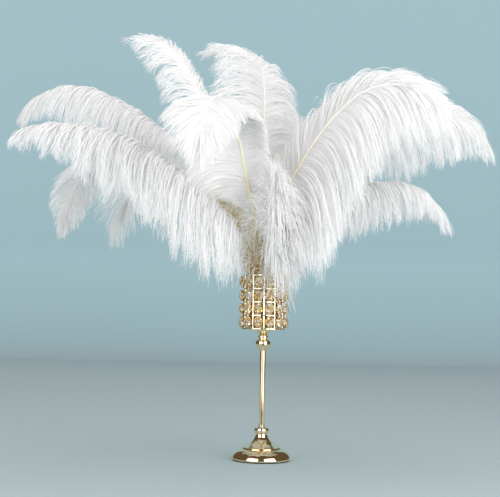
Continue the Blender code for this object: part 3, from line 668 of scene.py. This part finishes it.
def foot_pad():
    """The pad, with a narrow bevel round its top, and lowest in the middle of its underside."""
    edge, top = PAD_DIAMETER / 2 / MM, PAD_THICK / MM
    runs = [
        [(0, top), (edge - 0.6, top)],
        [(edge - 0.6, top), (edge, top - 0.4)],
        [(edge, top - 0.4), (edge, 0.3)],
        [(edge, 0.3), (0, 0)],
    ]
    holder_piece("felt_pad", "foot_pad", lathed(runs), black_felt())


def foot(finish):
    """The foot: a thick ring on a neck that flares to a small step, and a low dome with a rolled rim."""
    rim, top, under = FOOT_DIAMETER / 2 / MM, FOOT_TOP / MM, (PAD_THICK + FIT_GAP) / MM
    runs = [
        [(0, top), (9.4, top)],
        [(9.4, top), (11.5, 53.8), (12.5, 50.9), (12.3, 48.0), (11.1, 45.6), (10.0, 44.7)],
        [(10.0, 44.7), (10.1, 42.6), (11.2, 38.9), (13.9, 34.5), (18.8, 29.8), (25.4, 25.6), (30.9, 22.6)],
        [(30.9, 22.6), (32.0, 22.0), (32.5, 21.0), (31.9, 20.2)],
        [(31.9, 20.2), (37.4, 18.6), (42.8, 15.0), (46.8, 10.2), (48.7, 5.6), (rim, 3.2), (48.5, under)],
        [(48.5, under), (0, under)],
    ]
    holder_piece("foot_turned", "foot", lathed(runs, 128), finish)


def stem(finish):
    """The stem: a plain rod with a small collar round its lower end."""
    rod, collar = STEM_DIAMETER / 2 / MM, COLLAR_DIAMETER / 2 / MM
    top, under = STEM_TOP / MM, (FOOT_TOP + FIT_GAP) / MM
    runs = [
        [(0, top), (rod, top)],
        [(rod, top), (rod, 59.6)],
        [(rod, 59.6), (5.2, 59.2), (collar, 58.4), (collar, 57.0)],
        [(collar, 57.0), (collar, under)],
        [(collar, under), (0, under)],
    ]
    holder_piece("stem_rod", "stem", lathed(runs, 64), finish)


def knop(finish):
    """The knop: a ball, a bead on its neck, and a saucer for the cup to sit on."""
    ball, saucer = KNOP_DIAMETER / 2 / MM, SAUCER_DIAMETER / 2 / MM
    top, under = (CUP_BASE - FIT_GAP) / MM, (STEM_TOP + FIT_GAP) / MM
    runs = [
        [(0, top), (saucer, top)],
        [(saucer, top), (13.5, 217.6), (10.8, 214.9), (7.6, 212.6), (6.0, 211.0)],
        [(6.0, 211.0), (7.7, 209.9), (8.6, 208.0), (8.5, 205.6), (7.8, 204.2), (8.2, 203.3)],
        [(8.2, 203.3), (10.7, 201.7), (12.2, 198.6), (ball, 195.2), (11.8, 191.2), (9.6, 187.2),
         (6.8, 184.7)],
        [(6.8, 184.7), (0, under)],
    ]
    holder_piece("knop_turned", "knop", lathed(runs), finish)


# --------------------------------------------------------------------------------------------- finishes


def linear(text):
    """An sRGB hex colour as linear red, green and blue, and an alpha of 1."""
    channels = [int(text[i : i + 2], 16) / 255 for i in (1, 3, 5)]
    return [c / 12.92 if c <= 0.04045 else ((c + 0.055) / 1.055) ** 2.4 for c in channels] + [1.0]


def add(tree, kind, settings=None, **inputs):
    """One node: its settings, then for each input a value or the output that feeds it.

    The setting "stops" is a colour ramp's list of (place, colour).
    """
    node = tree.nodes.new(kind)
    for name, value in (settings or {}).items():
        if name == "stops":
            for place, _ in value[2:]:
                node.color_ramp.elements.new(place)
            for element, (place, colour) in zip(node.color_ramp.elements, value):
                element.position, element.color = place, linear(colour)
        else:
            setattr(node, name, value)
    for name, value in inputs.items():
        socket = node.inputs[name.replace("_", " ")]
        if isinstance(value, bpy.types.NodeSocket):
            tree.links.new(value, socket)
        else:
            socket.default_value = value
    return node


def new_finish(name):
    """An empty material of this name, and its node tree."""
    made = bpy.data.materials.new(name)
    made.use_nodes = True
    made.node_tree.nodes.clear()
    return made, made.node_tree


def ostrich_barb():
    """Keratin barbs, bleached in a bath, washed and steamed open.

    They are matt, so thin that light comes through, and a warm cream near the quill, with the innermost roots
    darkened further to amber as painted shade of the crowded bunch.
    """
    made, tree = new_finish("bleached white ostrich barb")
    shares = add(tree, "ShaderNodeUVMap", {"uv_map": "shares"})
    split = add(tree, "ShaderNodeSeparateXYZ", Vector=shares.outputs["UV"])
    # The bleach leaves the roots of the innermost down a warm cream, and their darker amber is painted
    # shade deep in the bunch. The tone is taken from the place up the shaft plus 0.8 of the place out
    # along the barb, and is white from 0.7 on.
    paleness = add(tree, "ShaderNodeMath", {"operation": "MULTIPLY_ADD"})
    tree.links.new(split.outputs["Y"], paleness.inputs[0])
    paleness.inputs[1].default_value = 0.8
    tree.links.new(split.outputs["X"], paleness.inputs[2])
    # The amber first stop is painted shade at the innermost roots; cream follows, then white.
    tones = [(0.0, "#C9A95C"), (0.22, "#DFCC96"), (0.42, "#F0E9D4"), (0.56, "#F9F7F0"), (0.70, "#FCFCFC")]
    colour = add(tree, "ShaderNodeValToRGB", {"stops": tones}, Fac=paleness.outputs["Value"]).outputs["Color"]
    skin = add(tree, "ShaderNodeBsdfPrincipled", Base_Color=colour, Roughness=0.75, IOR=1.54)
    through = add(tree, "ShaderNodeBsdfTranslucent", Color=colour)
    both = add(tree, "ShaderNodeMixShader", Fac=0.5)
    tree.links.new(skin.outputs["BSDF"], both.inputs[1])
    tree.links.new(through.outputs["BSDF"], both.inputs[2])
    add(tree, "ShaderNodeOutputMaterial", Surface=both.outputs["Shader"])
    return made


def ostrich_shaft():
    """Keratin grown solid, and bleached with the barbs.

    It is a smooth pale horn yellow with a soft gloss, darkened to amber-brown at the quill as painted shade
    down in the cup, and whiter towards the tip.
    """
    made, tree = new_finish("bleached ostrich shaft keratin")
    shares = add(tree, "ShaderNodeUVMap", {"uv_map": "shares"})
    split = add(tree, "ShaderNodeSeparateXYZ", Vector=shares.outputs["UV"])
    # The amber-brown first stop is painted shade on the quill down in the cup; horn yellow follows, then
    # white.
    tones = [(0.0, "#B98E45"), (0.22, "#CDB06E"), (0.36, "#E6DAA4"), (0.60, "#F1ECD2"), (0.80, "#FBF9F2")]
    colour = add(tree, "ShaderNodeValToRGB", {"stops": tones}, Fac=split.outputs["X"]).outputs["Color"]
    skin = add(tree, "ShaderNodeBsdfPrincipled", Base_Color=colour, Roughness=0.35, IOR=1.54)
    add(tree, "ShaderNodeOutputMaterial", Surface=skin.outputs["BSDF"])
    return made


def champagne_gold():
    """Thin champagne-gold plating over turned and welded metal, buffed bright.

    It mirrors what is round it sharply, and faint rubbing marks spread its highlights a little.
    """
    made, tree = new_finish("electroplated champagne gold, buffed bright")
    place = add(tree, "ShaderNodeTexCoord").outputs["Object"]
    # The rubbing marks are patches about 2.4 mm across, 1 / 420 of a metre.
    rub = add(tree, "ShaderNodeTexNoise", Vector=place, Scale=420.0, Detail=3.0).outputs["Fac"]
    rough = add(tree, "ShaderNodeMapRange", Value=rub, To_Min=0.06, To_Max=0.15)
    skin = add(
        tree,
        "ShaderNodeBsdfPrincipled",
        Base_Color=linear("#F4E2BE"),
        Metallic=1.0,
        Roughness=rough.outputs["Result"],
    )
    add(tree, "ShaderNodeOutputMaterial", Surface=skin.outputs["BSDF"])
    return made


def cut_crystal():
    """Lead glass, cut and polished by machine, then vapour-coated with a champagne lustre.

    Each cut is flat and sharp, and the lustre makes it half a mirror, so it glitters white and gold.
    """
    made, tree = new_finish("machine cut lead crystal with gold lustre")
    place = add(tree, "ShaderNodeTexCoord").outputs["Object"]
    patch = add(tree, "ShaderNodeTexVoronoi", {"distance": "MANHATTAN"}, Vector=place, Scale=300.0)
    # Small cuts inside each bead's own faces: every 3 mm cell slopes away from its middle in flat
    # planes, so neighbouring cuts mirror a softbox, the dark between them and the gold bars by turns.
    cuts = add(tree, "ShaderNodeBump", Strength=1.0, Distance=0.0016, Height=patch.outputs["Distance"])
    tone = add(tree, "ShaderNodeSeparateColor", Color=patch.outputs["Color"]).outputs["Red"]
    tones = [(0.0, "#D8982C"), (0.22, "#FFE48C"), (0.4, "#FFFFFF")]
    tones += [(0.62, "#CC8C34"), (0.8, "#FFF0A0"), (0.9, "#FFFFFF")]
    colour = add(tree, "ShaderNodeValToRGB", {"stops": tones}, Fac=tone).outputs["Color"]
    skin = add(
        tree,
        "ShaderNodeBsdfPrincipled",
        Base_Color=colour,
        Metallic=0.5,
        Roughness=0.03,
        IOR=1.6,
        Transmission_Weight=0.5,
        Normal=cuts.outputs["Normal"],
    )
    add(tree, "ShaderNodeOutputMaterial", Surface=skin.outputs["BSDF"])
    return made


def black_felt():
    """Dyed wool, pressed into felt: it has no shine at all, and a fine mottle of fibres."""
    made, tree = new_finish("pressed black wool felt")
    place = add(tree, "ShaderNodeTexCoord").outputs["Object"]
    # Fibres of 0.03 mm are too fine to show, so the mottle is drawn at 1.1 mm, 1 / 900 of a metre.
    fibre = add(tree, "ShaderNodeTexNoise", Vector=place, Scale=900.0, Detail=4.0).outputs["Fac"]
    tones = [(0.3, "#0E0E0E"), (0.7, "#232222")]
    colour = add(tree, "ShaderNodeValToRGB", {"stops": tones}, Fac=fibre).outputs["Color"]
    skin = add(tree, "ShaderNodeBsdfPrincipled", Base_Color=colour, Roughness=0.95)
    add(tree, "ShaderNodeOutputMaterial", Surface=skin.outputs["BSDF"])
    return made


# ------------------------------------------------------------------------------------- the arrangement

gold = champagne_gold()
crystal = cut_crystal()
foot_pad()
foot(gold)
stem(gold)
knop(gold)
holder_piece("cup_frame_bars", "cup_frame", cup_frame(), gold)
for column_number in range(COLUMNS):
    crystal_strand(column_number, [crystal, gold])

barb_finish = ostrich_barb()
shaft_finish = ostrich_shaft()
for plume_name, plume_plan in PLUMES.items():
    plume(plume_name, plume_plan, [barb_finish, shaft_finish])

# ------------------------------------------------------------------------------------------ the studio


def studio():
    """A pale sweep: floor, then a quarter round, then wall, as one profile carried along X."""
    front, wall, top, half_width, bend = -0.55, 4.2, 4.0, 2.2, 0.6
    angle = np.linspace(0, math.pi / 2, 24)
    rounded_part = np.stack([wall - bend + bend * np.sin(angle), bend - bend * np.cos(angle)], axis=-1)
    profile = [(front, 0.0), *rounded_part, (wall, top)]
    points = np.array([(x, y, z) for x in (-half_width, half_width) for y, z in profile])
    count = len(profile)
    step = np.arange(count - 1)
    quads = np.stack([step, step + count, step + count + 1, step + 1], axis=-1)
    sweep = mesh_piece("studio_sweep", points, quads, np.zeros((0, 3), int))
    sweep.data.polygons.foreach_set("use_smooth", np.ones(len(quads), bool))
    made, tree = new_finish("pale blue-grey studio paper")
    # Matt paper, greyer on the floor, so that the gold mirrors little blue, and pale blue from 0.5 m up.
    place = add(tree, "ShaderNodeTexCoord").outputs["Object"]
    height = add(tree, "ShaderNodeSeparateXYZ", Vector=place).outputs["Z"]
    tones = [(0.0, "#A9BABD"), (0.1, "#A4C2C8"), (0.5, "#B4D3DB")]
    colour = add(tree, "ShaderNodeValToRGB", {"stops": tones}, Fac=height).outputs["Color"]
    skin = add(tree, "ShaderNodeBsdfPrincipled", Base_Color=colour, Roughness=0.9)
    add(tree, "ShaderNodeOutputMaterial", Surface=skin.outputs["BSDF"])
    sweep.data.materials.append(made)


def softbox(name, place, aim, size, power):
    """A soft light of this (width, height) in metres and power in watts, that faces aim."""
    light = bpy.data.lights.new(name, "AREA")
    light.shape = "RECTANGLE"
    light.size, light.size_y = size
    light.energy = power
    lamp = bpy.data.objects.new(name, light)
    lamp.location = place
    lamp.rotation_euler = (Vector(aim) - Vector(place)).to_track_quat("-Z", "Y").to_euler()
    bpy.context.scene.collection.objects.link(lamp)
    return lamp


def camera():
    """The photograph's viewpoint: 1.98 m in front, 0.25 m up, tipped up by 3 degrees and rolled by 1."""
    eye, aim = Vector((-0.0250, -1.98, 0.250)), Vector((-0.0250, 0.0, 0.3566))
    back = (eye - aim).normalized()
    right = Vector((0, 0, 1)).cross(back).normalized()
    up = back.cross(right)
    roll = math.radians(1.04)
    right, up = right * math.cos(roll) + up * math.sin(roll), up * math.cos(roll) - right * math.sin(roll)
    lens = bpy.data.cameras.new("camera")
    lens.lens = 84
    lens.sensor_width = 36
    made = bpy.data.objects.new("camera", lens)
    made.matrix_world = Matrix.Translation(eye) @ Matrix((right, up, back)).transposed().to_4x4()
    bpy.context.scene.collection.objects.link(made)
    bpy.context.scene.camera = made


studio()
for side, name, power in ((-1, "left", 10), (1, "right", 24)):
    softbox(f"{name}_softbox", (1.12 * side, -1.54, 0.70), (0, 0, 0.7), (1.5, 1.5), power)
    # A bright card in front of it, from 0.22 m up, for the gold and the crystals to mirror; it adds
    # nothing to the light on matt surfaces.
    card = softbox(f"{name}_card", (1.10 * side, -1.51, 0.81), (0, 0, 0.81), (1.5, 1.18), 20 - 0.4 * power)
    card.visible_diffuse = False
softbox("top_softbox", (0.0, 0.5, 2.3), (0, 0, 0.5), (1.6, 1.2), 4)
camera()
world = bpy.data.worlds.new("studio")
bpy.context.scene.world = world
world.use_nodes = True
world.node_tree.nodes.clear()
# White light from all round for the matt pieces, and a dim warm tone beyond the softboxes for the
# metal to mirror.
all_round = add(world.node_tree, "ShaderNodeBackground", Color=linear("#F6F4F4"), Strength=0.91)
mirrored = add(world.node_tree, "ShaderNodeBackground", Color=linear("#B09878"), Strength=0.28)
ray = add(world.node_tree, "ShaderNodeLightPath")
seen = add(world.node_tree, "ShaderNodeMixShader", Fac=ray.outputs["Is Glossy Ray"])
world.node_tree.links.new(all_round.outputs["Background"], seen.inputs[1])
world.node_tree.links.new(mirrored.outputs["Background"], seen.inputs[2])
add(world.node_tree, "ShaderNodeOutputWorld", Surface=seen.outputs["Shader"])
bpy.context.scene.view_settings.view_transform = "Standard"
